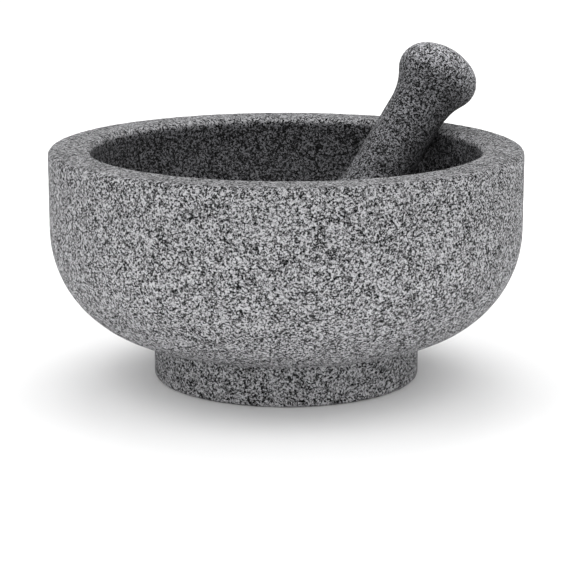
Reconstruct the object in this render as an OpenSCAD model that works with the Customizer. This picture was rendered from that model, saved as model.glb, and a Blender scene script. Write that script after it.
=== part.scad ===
// Stone molcajete: a turned bowl with its own ring foot, and a loose pestle that leans in it.
// Millimetres, +Z up. The origin is on the bowl's axis, at the underside of the foot.

/* [Bowl] */
// Outer diameter of the bowl
bowl_d = 203; // [170:1:245]
// Height from the table to the top of the rim
bowl_h = 100; // [84:1:120]
// Thickness of the wall at the rim
rim_wall = 18; // [14:0.5:22]
// Radius of the big outside curve between the straight wall and the foot
belly_r = 48; // [40:1:58]
// Radius of the rim's outer edge
rim_outer_round = 2.5; // [1:0.1:4]
// Radius of the rim's inner edge, where the pestle rests
rim_inner_round = 3; // [1:0.1:4]

/* [Hollow] */
// Depth of the hollow below the top of the rim
hollow_depth = 77; // [64:1:82]
// Height of the straight part of the hollow's wall, with the rounded edge
hollow_straight = 6.5; // [5:0.5:8]
// Radius of the curve between the straight wall and the spherical floor
hollow_side_r = 50; // [40:1:52]

/* [Foot] */
// Outer diameter of the foot
foot_d = 115; // [96:1:138]
// Height of the foot, from the table to the lowest point of the bowl's curve
foot_h = 18; // [15:0.5:22]
// Width of the ring that touches the table
foot_ring_w = 17; // [14:0.5:24]
// Depth of the recess inside that ring
foot_recess = 3; // [1:0.25:4]
// Radius of the foot's lower edge
foot_round = 2; // [0.5:0.1:3]
// Radius of the inside corner between the foot and the bowl
foot_fillet = 2; // [0.5:0.1:4]

/* [Pestle] */
// Length from the tip of the head to the top of the knob
pestle_len = 129; // [108:1:155]
// Diameter of the shaft
shaft_d = 26; // [21.5:0.5:31.5]
// Diameter of the round head that grinds
head_d = 44; // [36.5:0.5:53]
// Radius of the hollow curve from the shaft to the head
head_neck_r = 80; // [66:1:96]
// Diameter of the knob at its widest
knob_d = 37; // [34:0.5:44]
// Radius of the dome on top of the knob
knob_dome_r = 25.5; // [22:0.5:30.5]
// Radius of the knob's side
knob_side_r = 10.5; // [8.5:0.1:12.6]
// Radius of the hollow curve from the shaft to the knob
knob_neck_r = 30; // [24:1:36]

/* [Pose] */
// Lean of the pestle from upright, in degrees
lean = 40; // [33:0.5:46]
// Direction that the pestle leans to, in degrees from +X towards +Y
lean_direction = 38.5; // [0:0.5:359.5]
// Gap between the resting pestle and the stone that carries it
seat_gap = 0.3; // [0.2:0.05:0.5]

/* [Hidden] */
$fn = 96;
stone_colour = "#88888b";
chord_gap = 0.05;
seat_passes = 12;

bowl_r = bowl_d / 2;
hollow_r = bowl_r - rim_wall;
foot_r = foot_d / 2;
ring_inner_r = foot_r - foot_ring_w;
shaft_r = shaft_d / 2;
head_r = head_d / 2;
knob_r = knob_d / 2;

// The other short side of a right triangle.
function leg(long, short) = sqrt(long * long - short * short);

// Points of an arc about [cx, cz] with radius r, from angle a to angle b. Its chords stay within
// chord_gap of the true arc.
function arc(cx, cz, r, a, b) =
    let (step = 2 * acos(1 - chord_gap / r))
    let (n = max(1, ceil(abs(b - a) / step)))
    [for (i = [0 : n]) let (t = a + (b - a) * i / n) [cx + r * cos(t), cz + r * sin(t)]];

// Belly: a quarter curve from the straight wall in to its lowest level, which is the top of the foot.
belly_x = bowl_r - belly_r;
belly_z = foot_h + belly_r;

// Corner fillet: touches the foot's wall, and the belly or the flat underside that follows it.
fillet_x = foot_r + foot_fillet;
fillet_over = max(0, fillet_x - belly_x);
fillet_z = belly_z - leg(belly_r + foot_fillet, fillet_over);
fillet_a = atan2(belly_z - fillet_z, -fillet_over);

// Hollow: the side curve touches the straight wall, and the floor's sphere touches the side curve.
side_x = hollow_r - hollow_side_r;
side_z = bowl_h - hollow_straight;
side_rise = hollow_depth - hollow_straight;
floor_z = bowl_h - hollow_depth;
floor_r = (side_rise * side_rise + side_x * side_x - hollow_side_r * hollow_side_r)
    / (2 * (side_rise - hollow_side_r));
floor_centre_z = floor_z + floor_r;
side_a = atan2(side_z - floor_centre_z, side_x);
edge_x = hollow_r + rim_inner_round;
edge_z = bowl_h - rim_inner_round;

bowl_outline = concat(
    arc(0, floor_centre_z, floor_r, -90, side_a),
    arc(side_x, side_z, hollow_side_r, side_a, 0),
    arc(edge_x, edge_z, rim_inner_round, 180, 90),
    arc(bowl_r - rim_outer_round, bowl_h - rim_outer_round, rim_outer_round, 90, 0),
    arc(belly_x, belly_z, belly_r, 0, fillet_a - 180),
    arc(fillet_x, fillet_z, foot_fillet, fillet_a, 180),
    arc(foot_r - foot_round, foot_round, foot_round, 0, -90),
    [[ring_inner_r, 0], [ring_inner_r - foot_recess, foot_recess], [0, foot_recess]]);

// Pestle, upright, with the tip of its head at the origin: head, hollow curve, shaft, hollow curve, knob.
head_curve_x = shaft_r + head_neck_r;
head_curve_z = head_r + leg(head_r + head_neck_r, head_curve_x);
head_a = atan2(head_curve_z - head_r, head_curve_x);
dome_z = pestle_len - knob_dome_r;
knob_side_x = knob_r - knob_side_r;
knob_side_z = dome_z + leg(knob_dome_r - knob_side_r, knob_side_x);
dome_a = atan2(knob_side_z - dome_z, knob_side_x);
knob_curve_x = shaft_r + knob_neck_r;
knob_curve_z = knob_side_z - leg(knob_side_r + knob_neck_r, knob_curve_x - knob_side_x);
knob_a = atan2(knob_side_z - knob_curve_z, knob_side_x - knob_curve_x);

pestle_outline = concat(
    arc(0, head_r, head_r, -90, head_a),
    arc(head_curve_x, head_curve_z, head_neck_r, head_a - 180, -180),
    arc(knob_curve_x, knob_curve_z, knob_neck_r, 180, knob_a),
    arc(knob_side_x, knob_side_z, knob_side_r, knob_a - 180, dome_a),
    arc(0, dome_z, knob_dome_r, dome_a, 90));

// Radius of the pestle at a height above its tip.
pestle_radii = [for (p = pestle_outline) [p[1], p[0]]];
function pestle_radius(z) = lookup(z, pestle_radii);

// How far the pestle's axis stays from the centre of the rim's round edge, when that centre is level
// with the height z on the pestle: the pestle's outline clears a circle of the edge's radius and the gap.
edge_reach = rim_inner_round + seat_gap;
function axis_offset(z) =
    max([for (k = [-90 : 5 : 90]) pestle_radius(z + edge_reach * sin(k)) + edge_reach * cos(k)]);

// Directions in the plane of the lean, as [outwards, up]: along the axis to the knob, and square to it.
along = [sin(lean), cos(lean)];
square_to = [cos(lean), -sin(lean)];
floor_centre = [0, floor_centre_z];
head_reach = floor_r - head_r - seat_gap;

// Centre of the head for an offset: on the pestle's axis, as deep as the floor's sphere lets it go.
function head_centre(offset) =
    let (start = [edge_x, edge_z] - offset * square_to)
    let (from = start - floor_centre)
    let (drop = from * along + sqrt(pow(from * along, 2) - from * from + head_reach * head_reach))
    start - drop * along;

// Height on the pestle that is level with the rim's edge.
function edge_level(offset) = head_r + ([edge_x, edge_z] - head_centre(offset)) * along;

// The offset and the level depend on each other, so each pass takes the last one's result.
function seated_offset(offset, passes) =
    passes == 0 ? offset : seated_offset(axis_offset(edge_level(offset)), passes - 1);

seat_offset = seated_offset(shaft_r + edge_reach, seat_passes);
tip = head_centre(seat_offset) - head_r * along;

module mortar_bowl() {
    color(stone_colour)
    rotate_extrude()
    polygon(bowl_outline);
}

module pestle() {
    color(stone_colour)
    rotate([0, 0, lean_direction])
    translate([tip[0], 0, tip[1]])
    rotate([0, lean, 0])
    rotate_extrude()
    polygon(pestle_outline);
}

mortar_bowl();
pestle();
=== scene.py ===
"""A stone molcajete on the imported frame: a turned granite bowl on a ring foot, and its leaning pestle.

The outlines are in millimetres and everything that Blender holds is in metres, +Z up.
"""

import math

import bpy
import numpy as np
from mathutils import Matrix, Vector, noise


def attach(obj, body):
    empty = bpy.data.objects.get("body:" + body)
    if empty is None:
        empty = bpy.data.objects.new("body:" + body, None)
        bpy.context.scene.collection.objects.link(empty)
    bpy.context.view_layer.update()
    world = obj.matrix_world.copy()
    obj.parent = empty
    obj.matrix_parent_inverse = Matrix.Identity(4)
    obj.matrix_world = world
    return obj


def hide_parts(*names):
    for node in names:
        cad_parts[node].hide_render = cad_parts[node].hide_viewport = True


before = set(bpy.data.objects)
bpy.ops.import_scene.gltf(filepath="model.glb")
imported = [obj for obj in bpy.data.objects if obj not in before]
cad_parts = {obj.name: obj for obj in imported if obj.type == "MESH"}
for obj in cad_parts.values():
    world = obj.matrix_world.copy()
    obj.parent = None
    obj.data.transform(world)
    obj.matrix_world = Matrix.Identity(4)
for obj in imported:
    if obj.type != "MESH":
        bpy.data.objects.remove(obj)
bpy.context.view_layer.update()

MM = 0.001

# Bowl, in millimetres, as in the CAD model.
BOWL_R, BOWL_H, RIM_WALL, BELLY_R = 101.5, 100.0, 18.0, 48.0
RIM_OUTER_ROUND, RIM_INNER_ROUND = 2.5, 3.0
HOLLOW_DEPTH, HOLLOW_STRAIGHT, HOLLOW_SIDE_R = 77.0, 6.5, 50.0
FOOT_R, FOOT_H, FOOT_RING_W, FOOT_RECESS = 57.5, 18.0, 17.0, 3.0
FOOT_ROUND, FOOT_FILLET = 2.0, 2.0

# Pestle, in millimetres. Its two ends are read from the frame.
SHAFT_R, HEAD_R, HEAD_NECK_R = 13.0, 22.0, 80.0
KNOB_R, KNOB_DOME_R, KNOB_SIDE_R, KNOB_NECK_R = 18.5, 25.5, 10.5, 30.0
LEAN, LEAN_DIRECTION = 40.0, 38.5

# Relief: depth and width of the slow unevenness, then of the pecked dents, in millimetres.
OUTSIDE_RELIEF = (0.10, 18, 0.10, 3.2)
HOLLOW_RELIEF = (0.10, 14, 0.16, 3.6)
PESTLE_RELIEF = (0.08, 15, 0.08, 2.6)
# Chips along the rim's outer edge: how deep, how wide, and how far from the edge they reach.
CHIP_DEPTH, CHIP_SIZE, CHIP_REACH = 0.25, 5, 4.0

# Distance between the points of an outline, in millimetres, and steps round a turned mesh.
BOWL_SPACING, BOWL_STEPS = 1.5, 384
PESTLE_SPACING, PESTLE_STEPS = 0.8, 160
ROUND_SPACING, LIP_SPACING = 0.6, 0.7

# Granite: the sizes of what it is made of, as shares of the grain size, and its grains from dark to pale.
LARGE_GRAIN, SMALL_GRAIN, FLECK_SIZE, FINE_SIZE, SWIRL_SIZE, CLUSTER_SIZE = 0.80, 0.42, 0.55, 0.55, 1.1, 7.0
LARGE_SHARE, SMALL_SHARE, CLUSTER_SHARE = 0.55, 0.45, 0.26
GRAIN_STOPS = ((0.26, 0.004), (0.37, 0.035), (0.445, 0.20), (0.55, 0.39), (0.74, 0.77))
BOWL_GRAIN, PESTLE_GRAIN = 0.89, 0.78
# Where the stone is rubbed, this gamma deepens its dark grains.
RUBBED_GAMMA = 1.8

# Tones that scale the stone's colour, set by measure until plain lights give the photo's
# brightness from part to part. Most of their changes are painted shade and painted light.
# The tone up the outside of the bowl, from the table to the rim: painted shade on the foot under the belly,
# painted light on the belly, the wall's own tone, and painted shade on the rim's top. Then the hollow's
# painted shade.
OUTSIDE_LEVELS = (0, 17, 24, 50, 85, 98.8, 99.6)
OUTSIDE_TONES_AND_PAINTED_SHADING = (0.575, 0.575, 0.73, 0.73, 0.65, 0.65, 0.56)
HOLLOW_PAINTED_SHADE_TONE = 0.31
# Tone and rub up the pestle, from the tip to the top: the knob is paler than the grip, and the grip and
# head below it are darkened as painted shade where they lie in the bowl.
PESTLE_LEVELS = (0, 0.84, 0.94)
PESTLE_TONES_AND_PAINTED_SHADE = (0.37, 0.37, 0.89)
PESTLE_RUB = (1.0, 1.0, 0.5)
# Painted light on the pestle's upper side and painted shade on its underside, as if lit from above.
PAINTED_UPPER_LIGHT, PAINTED_UNDER_SHADE = 1.28, 0.32

# Studio, in metres: each light's name, place, width and power.
LIGHTS = (
    ("overhead_back", (0.0, 0.9, 1.35), 1.2, 6.5),
    ("high_left", (-0.9, -0.2, 1.4), 1.0, 3.2),
    ("high_right", (0.9, -0.2, 1.4), 1.0, 2.75),
    ("front", (0.0, -2.2, 0.35), 1.2, 10.8),
)
LIGHT_TARGET = (0, 0, 0.04)
FLOOR_HALF = 4.0
LENS, SENSOR = 129.76, 36.0
CAMERA_DISTANCE, CAMERA_ELEVATION = 0.8988, 12.6
CAMERA_CENTRE, CAMERA_AIM = (0, 0, 0.045), (0.00056, 0, 0.0378)


def leg(long, short):
    """The other short side of a right triangle."""
    return math.sqrt(long * long - short * short)


def angle(x, z):
    """The direction of a point seen from the origin, in degrees."""
    return math.degrees(math.atan2(z, x))


def arc(cx, cz, r, a, b, spacing):
    """Points of an arc from angle a to angle b in degrees, at most spacing apart."""
    count = max(4, math.ceil(abs(math.radians(b - a)) * r / spacing))
    turn = np.radians(np.linspace(a, b, count + 1))
    return np.column_stack([cx + r * np.cos(turn), cz + r * np.sin(turn)])


def line(start, end, spacing):
    """Points of a straight stretch, at most spacing apart."""
    count = max(1, math.ceil(math.dist(start, end) / spacing))
    return np.linspace(start, end, count + 1)


def joined(*stretches):
    """One outline of several stretches, without the points that repeat where two meet."""
    points = np.vstack(stretches)
    apart = np.linalg.norm(np.diff(points, axis=0), axis=1) > 1e-4
    return points[np.r_[True, apart]]


def bowl_outline(spacing):
    """From the middle of the hollow's floor, over the rim and down the outside, to the underside."""
    hollow_r = BOWL_R - RIM_WALL
    side_x, side_z = hollow_r - HOLLOW_SIDE_R, BOWL_H - HOLLOW_STRAIGHT
    rise = HOLLOW_DEPTH - HOLLOW_STRAIGHT
    floor_r = (rise**2 + side_x**2 - HOLLOW_SIDE_R**2) / (2 * (rise - HOLLOW_SIDE_R))
    floor_centre_z = BOWL_H - HOLLOW_DEPTH + floor_r
    side_a = angle(side_x, side_z - floor_centre_z)
    belly_x, belly_z = BOWL_R - BELLY_R, FOOT_H + BELLY_R
    fillet_x = FOOT_R + FOOT_FILLET
    fillet_z = belly_z - leg(BELLY_R + FOOT_FILLET, fillet_x - belly_x)
    fillet_a = angle(belly_x - fillet_x, belly_z - fillet_z)
    edge_in_x, edge_in_z = hollow_r + RIM_INNER_ROUND, BOWL_H - RIM_INNER_ROUND
    edge_out_x, edge_out_z = BOWL_R - RIM_OUTER_ROUND, BOWL_H - RIM_OUTER_ROUND
    ring_in = FOOT_R - FOOT_RING_W
    return joined(
        arc(0, floor_centre_z, floor_r, -90, side_a, spacing),
        arc(side_x, side_z, HOLLOW_SIDE_R, side_a, 0, spacing),
        line((hollow_r, side_z), (hollow_r, edge_in_z), spacing),
        arc(edge_in_x, edge_in_z, RIM_INNER_ROUND, 180, 90, LIP_SPACING),
        line((edge_in_x, BOWL_H), (edge_out_x, BOWL_H), spacing),
        arc(edge_out_x, edge_out_z, RIM_OUTER_ROUND, 90, 0, ROUND_SPACING),
        line((BOWL_R, edge_out_z), (BOWL_R, belly_z), spacing),
        arc(belly_x, belly_z, BELLY_R, 0, fillet_a - 180, spacing),
        arc(fillet_x, fillet_z, FOOT_FILLET, fillet_a, 180, ROUND_SPACING),
        line((FOOT_R, fillet_z), (FOOT_R, FOOT_ROUND), spacing),
        arc(FOOT_R - FOOT_ROUND, FOOT_ROUND, FOOT_ROUND, 0, -90, ROUND_SPACING),
        line((FOOT_R - FOOT_ROUND, 0), (ring_in, 0), 2 * spacing),
        line((ring_in, 0), (ring_in - FOOT_RECESS, FOOT_RECESS), spacing),
        line((ring_in - FOOT_RECESS, FOOT_RECESS), (0, FOOT_RECESS), 2 * spacing),
    )


def pestle_outline(length, spacing):
    """From the tip of the head to the top of the knob, upright, with the tip at the origin."""
    head_x = SHAFT_R + HEAD_NECK_R
    head_z = HEAD_R + leg(HEAD_R + HEAD_NECK_R, head_x)
    head_a = angle(head_x, head_z - HEAD_R)
    dome_z = length - KNOB_DOME_R
    side_x = KNOB_R - KNOB_SIDE_R
    side_z = dome_z + leg(KNOB_DOME_R - KNOB_SIDE_R, side_x)
    dome_a = angle(side_x, side_z - dome_z)
    neck_x = SHAFT_R + KNOB_NECK_R
    neck_z = side_z - leg(KNOB_SIDE_R + KNOB_NECK_R, neck_x - side_x)
    neck_a = angle(side_x - neck_x, side_z - neck_z)
    return joined(
        arc(0, HEAD_R, HEAD_R, -90, head_a, spacing),
        arc(head_x, head_z, HEAD_NECK_R, head_a - 180, -180, spacing),
        line((SHAFT_R, head_z), (SHAFT_R, neck_z), spacing),
        arc(neck_x, neck_z, KNOB_NECK_R, 180, neck_a, spacing),
        arc(side_x, side_z, KNOB_SIDE_R, neck_a - 180, dome_a, spacing),
        arc(0, dome_z, KNOB_DOME_R, dome_a, 90, spacing),
    )


def outward(outline):
    """The normal at each point of an outline that has its solid on the left as it is followed."""
    ahead = np.gradient(outline, axis=0)
    normal = np.column_stack([ahead[:, 1], -ahead[:, 0]])
    normal[0], normal[-1] = (0, -1), (0, 1)
    return normal / np.linalg.norm(normal, axis=1, keepdims=True)


def turned(name, outline, normals, steps, depth_at):
    """A closed solid of revolution about Z. Each point is sunk into the stone by depth_at(point, ring)."""
    turn = np.linspace(0, 2 * math.pi, steps, endpoint=False)
    spokes = np.column_stack([np.cos(turn), np.sin(turn)])
    points, rings = [], []
    end = len(outline) - 1
    for i, ((r, z), (nr, nz)) in enumerate(zip(outline, normals)):
        for x, y in spokes[:1] if i in (0, end) else spokes:
            place = Vector((r * x, r * y, z))
            square = Vector((nr * x, nr * y, nz))
            points.append(place - square * depth_at(place, i))
            rings.append(i)
    # The first and the last point lie on the axis, and every ring between them has one point a step.
    faces = [(0, 1 + (k + 1) % steps, 1 + k) for k in range(steps)]
    for a in range(1, 1 + (end - 2) * steps, steps):
        for k in range(steps):
            j = (k + 1) % steps
            faces.append((a + k, a + j, a + steps + j, a + steps + k))
    a = 1 + (end - 2) * steps
    faces += [(a + k, a + (k + 1) % steps, a + steps) for k in range(steps)]
    mesh = bpy.data.meshes.new(name)
    mesh.from_pydata([p * MM for p in points], [], faces)
    mesh.polygons.foreach_set("use_smooth", [True] * len(mesh.polygons))
    return mesh, np.array(rings)


def smooth(low, high, value):
    """Rises smoothly from 0 at low to 1 at high."""
    t = min(1.0, max(0.0, (value - low) / (high - low)))
    return t * t * (3 - 2 * t)


def unevenness(place, size, seed):
    """Gentle noise from 0 to 1 with features about size millimetres across."""
    return 0.5 + 0.5 * noise.noise(place / size + Vector((seed, 2.3 * seed, -1.7 * seed)))


def pecks(place, size, seed):
    """Shallow round dents about size millimetres across, 1 in the middle of a dent and 0 between them."""
    distances, _ = noise.voronoi(place / size + Vector((seed, -seed, 2 * seed)))
    return max(0.0, 1 - (distances[0] / 0.62) ** 2)


def relief(place, shape, wave_seed, peck_seed):
    """How far the stone's surface lies below its true shape at a place, in millimetres."""
    wave_depth, wave_size, peck_depth, peck_size = shape
    wave = wave_depth * unevenness(place, wave_size, wave_seed)
    return wave + peck_depth * pecks(place, peck_size, peck_seed)


def add_piece(name, mesh, body, node, material):
    piece = bpy.data.objects.new(name, mesh)
    bpy.context.scene.collection.objects.link(piece)
    mesh.materials.append(material)
    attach(piece, body)
    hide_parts(node)


def write_attribute(mesh, name, values):
    made = mesh.attributes.new(name, "FLOAT", "POINT")
    made.data.foreach_set("value", np.asarray(values, dtype=np.float32))


class Nodes:
    """A material's node tree, with short ways to add what the stone needs."""

    def __init__(self, name):
        self.material = bpy.data.materials.new(name)
        self.material.use_nodes = True
        self.tree = self.material.node_tree
        self.tree.nodes.clear()

    def add(self, kind, inputs=None, **settings):
        """Adds a node. Each input is a socket to link from, or a value."""
        node = self.tree.nodes.new(kind)
        for key, value in settings.items():
            setattr(node, key, value)
        for key, value in (inputs or {}).items():
            if isinstance(value, bpy.types.NodeSocket):
                self.tree.links.new(value, node.inputs[key])
            else:
                node.inputs[key].default_value = value
        return node

    def math(self, operation, a, b):
        return self.add("ShaderNodeMath", {0: a, 1: b}, operation=operation).outputs[0]

    def vectors(self, operation, a, b):
        return self.add("ShaderNodeVectorMath", {0: a, 1: b}, operation=operation).outputs[0]

    def scaled(self, vector, factor):
        return self.add("ShaderNodeVectorMath", {0: vector, "Scale": factor}, operation="SCALE").outputs[0]

    def noise(self, vector, size, detail=2.0, roughness=0.5, distortion=0.0):
        """A noise node: its value and its colour go from 0 to 1, with features about size across."""
        return self.add("ShaderNodeTexNoise", {"Vector": vector, "Scale": 1 / size, "Detail": detail,
                                               "Roughness": roughness, "Distortion": distortion})

    def cell_colours(self, vector, size):
        """Three numbers from 0 to 1 for each cell about size across."""
        cells = self.add("ShaderNodeTexVoronoi", {"Vector": vector, "Scale": 1 / size})
        return self.add("ShaderNodeSeparateColor", {0: cells.outputs["Color"]}).outputs

    def attribute(self, name):
        return self.add("ShaderNodeAttribute", attribute_name=name).outputs["Fac"]

    def remap(self, value, low, high, to_low=0.0, to_high=1.0, shape="LINEAR"):
        return self.add("ShaderNodeMapRange", {"Value": value, "From Min": low, "From Max": high,
                                               "To Min": to_low, "To Max": to_high},
                        interpolation_type=shape).outputs[0]

    def mix(self, factor, a, b):
        """Mixes two colours. The Mix node's colour sockets are its inputs 6 and 7."""
        return self.add("ShaderNodeMix", data_type="RGBA", inputs={0: factor, 6: a, 7: b}).outputs[2]


def grey(value, blue=1.03):
    return (value, value, value * blue, 1.0)


def granite(name, seed, grain_size):
    """Salt-and-pepper granite: pale feldspar, grey quartz and dark mica, pecked and matt.

    The mesh's attribute "tone" scales the colour and carries painted shade and painted light. Where
    "rubbed" is 1, the dark grains are deepened more than the pale ones and the surface is a little
    smoother.
    """
    n = Nodes(name)
    place = n.scaled(n.add("ShaderNodeTexCoord").outputs["Object"], 1 / (grain_size * MM))
    place = n.vectors("ADD", place, (seed, -2 * seed, 3 * seed))
    swirl = n.vectors("SUBTRACT", n.noise(place, SWIRL_SIZE).outputs["Color"], (0.5, 0.5, 0.5))
    warped = n.vectors("ADD", place, swirl)

    clusters = n.noise(place, CLUSTER_SIZE, detail=3.0, roughness=0.6).outputs[0]
    large = n.math("MULTIPLY", n.cell_colours(warped, LARGE_GRAIN)[0], LARGE_SHARE)
    small = n.math("MULTIPLY", n.cell_colours(warped, SMALL_GRAIN)[1], SMALL_SHARE)
    cluster = n.math("MULTIPLY", n.math("SUBTRACT", clusters, 0.5), CLUSTER_SHARE)
    grain = n.math("ADD", n.math("ADD", large, small), cluster)

    ramp = n.add("ShaderNodeValToRGB", {0: grain})
    stops = ramp.color_ramp.elements
    for stop, (position, value) in ((stops[0], GRAIN_STOPS[0]), (stops[1], GRAIN_STOPS[-1])):
        stop.position, stop.color = position, grey(value)
    for position, value in GRAIN_STOPS[1:-1]:
        stops.new(position).color = grey(value)

    mica = n.noise(warped, FLECK_SIZE, roughness=0.6, distortion=0.6).outputs[0]
    fleck = n.remap(mica, 0.60, 0.68, shape="SMOOTHSTEP")
    colour = n.mix(n.math("MULTIPLY", fleck, 0.9), ramp.outputs[0], grey(0.03))

    rubbed = n.attribute("rubbed")
    gamma = n.remap(rubbed, 0, 1, 1, RUBBED_GAMMA)
    colour = n.add("ShaderNodeGamma", {"Color": colour, "Gamma": gamma}).outputs[0]
    colour = n.scaled(colour, n.attribute("tone"))

    fine = n.noise(place, FINE_SIZE, detail=3.0, roughness=0.65).outputs[0]
    height = n.math("ADD", n.math("MULTIPLY", fine, 0.6), n.math("MULTIPLY", grain, 0.4))
    height = n.math("SUBTRACT", height, n.math("MULTIPLY", fleck, 0.35))
    bump = n.add("ShaderNodeBump", {"Height": height, "Strength": 0.7, "Distance": 0.35 * MM})

    roughness = n.math("SUBTRACT", n.remap(grain, 0.2, 0.9, 0.9, 0.65), n.math("MULTIPLY", rubbed, 0.1))
    shader = n.add("ShaderNodeBsdfPrincipled", {"Base Color": colour, "Roughness": roughness,
                                                "Normal": bump.outputs[0], "Specular IOR Level": 0.12})
    n.add("ShaderNodeOutputMaterial", {"Surface": shader.outputs[0]})
    return n.material


def make_bowl():
    outline = bowl_outline(BOWL_SPACING)
    # The first ring of the rim's inner edge. The rings before it are the hollow's.
    rim_start = int(np.argmax(outline[:, 1] > BOWL_H - RIM_INNER_ROUND - 0.01))

    def depth(place, ring):
        if ring < rim_start:
            return relief(place, HOLLOW_RELIEF, 3, 5)
        from_edge = min(abs(place.z - BOWL_H), 9) + abs(math.hypot(place.x, place.y) - BOWL_R)
        chips = max(0.0, unevenness(place, CHIP_SIZE, 8) - 0.55) * smooth(CHIP_REACH, 0.5, from_edge)
        return relief(place, OUTSIDE_RELIEF, 1, 2) + CHIP_DEPTH * chips

    # This outline is followed with the stone on its right, so its normals and its faces are turned round.
    mesh, rings = turned("bowl", outline, -outward(outline), BOWL_STEPS, depth)
    mesh.flip_normals()
    # Painted shade on the foot and on the rim's top and painted light on the belly, up the outside; painted
    # shade over the hollow.
    outside = np.interp(outline[rings, 1], OUTSIDE_LEVELS, OUTSIDE_TONES_AND_PAINTED_SHADING)
    # The hollow's painted shade and its rub end over three rings at the rim's inner edge.
    within = np.clip((rim_start + 2 - rings) / 3, 0, 1)
    write_attribute(mesh, "tone", outside + within * (HOLLOW_PAINTED_SHADE_TONE - outside))
    write_attribute(mesh, "rubbed", within)
    return mesh


def make_pestle():
    """The pestle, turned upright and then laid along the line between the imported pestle's two ends."""
    points = [v.co.copy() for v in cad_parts["pestle"].data.vertices]
    lean, heading = math.radians(LEAN), math.radians(LEAN_DIRECTION)
    level = Vector((math.cos(heading), math.sin(heading), 0))
    along = level * math.sin(lean) + Vector((0, 0, math.cos(lean)))
    under = level * math.cos(lean) - Vector((0, 0, math.sin(lean)))
    tip, top = min(points, key=along.dot), max(points, key=along.dot)
    outline = pestle_outline((top - tip).length / MM, PESTLE_SPACING)

    def depth(place, ring):
        return relief(place, PESTLE_RELIEF, 4, 6)

    mesh, rings = turned("pestle", outline, outward(outline), PESTLE_STEPS, depth)
    mesh.transform(Matrix.Translation(tip) @ (top - tip).to_track_quat("Z", "Y").to_matrix().to_4x4())
    height = outline[rings, 1] / outline[-1, 1]
    rub = np.interp(height, PESTLE_LEVELS, PESTLE_RUB)
    # Painted light on the upper side and painted shade on the underside, as if lit from above; with the
    # painted shade down the shaft, it goes into the tone.
    facing = np.array([v.normal.dot(under) for v in mesh.vertices])
    painted_side_shading = PAINTED_UPPER_LIGHT + (PAINTED_UNDER_SHADE - PAINTED_UPPER_LIGHT) * np.clip(0.5 + 0.55 * facing, 0, 1)
    write_attribute(mesh, "tone", np.interp(height, PESTLE_LEVELS, PESTLE_TONES_AND_PAINTED_SHADE) * (1 + (painted_side_shading - 1) * rub))
    write_attribute(mesh, "rubbed", rub)
    return mesh


def make_floor():
    mesh = bpy.data.meshes.new("floor")
    corners = [(x * FLOOR_HALF, y * FLOOR_HALF, 0) for x, y in ((-1, -1), (1, -1), (1, 1), (-1, 1))]
    mesh.from_pydata(corners, [], [(0, 1, 2, 3)])
    floor = bpy.data.objects.new("floor", mesh)
    bpy.context.scene.collection.objects.link(floor)
    n = Nodes("pale_floor")
    place = n.add("ShaderNodeTexCoord").outputs["Object"]
    tone = n.remap(n.noise(place, 0.4).outputs[0], 0.3, 0.7, 0.97, 0.98)
    colour = n.add("ShaderNodeCombineColor", {0: tone, 1: tone, 2: tone}).outputs[0]
    shader = n.add("ShaderNodeBsdfPrincipled",
                   {"Base Color": colour, "Roughness": 0.9, "Specular IOR Level": 0.0})
    n.add("ShaderNodeOutputMaterial", {"Surface": shader.outputs[0]})
    mesh.materials.append(n.material)


def make_light(name, place, size, power):
    data = bpy.data.lights.new(name, "AREA")
    data.shape, data.size, data.energy = "DISK", size, power
    lamp = bpy.data.objects.new(name, data)
    lamp.location = place
    lamp.rotation_euler = (Vector(LIGHT_TARGET) - Vector(place)).to_track_quat("-Z", "Y").to_euler()
    bpy.context.scene.collection.objects.link(lamp)


def make_world(strength):
    world = bpy.data.worlds.new("studio")
    world.use_nodes = True
    world.node_tree.nodes["Background"].inputs["Color"].default_value = (1, 1, 1, 1)
    world.node_tree.nodes["Background"].inputs["Strength"].default_value = strength
    bpy.context.scene.world = world


def make_camera():
    data = bpy.data.cameras.new("camera")
    data.lens, data.sensor_width = LENS, SENSOR
    camera = bpy.data.objects.new("camera", data)
    elevation = math.radians(CAMERA_ELEVATION)
    outwards = Vector((0, -math.cos(elevation), math.sin(elevation)))
    camera.location = Vector(CAMERA_CENTRE) + CAMERA_DISTANCE * outwards
    camera.rotation_euler = (Vector(CAMERA_AIM) - camera.location).to_track_quat("-Z", "Y").to_euler()
    data.clip_start, data.clip_end = 0.01, 50
    bpy.context.scene.collection.objects.link(camera)
    bpy.context.scene.camera = camera


make_camera()
make_world(1.0)
make_floor()
for light in LIGHTS:
    make_light(*light)
add_piece("bowl", make_bowl(), "mortar", "mortar_bowl",
          granite("bowl_granite", 3.0, BOWL_GRAIN))
add_piece("pestle_stone", make_pestle(), "pestle", "pestle",
          granite("pestle_granite", 41.0, PESTLE_GRAIN))
bpy.context.scene.view_settings.view_transform = "Standard"
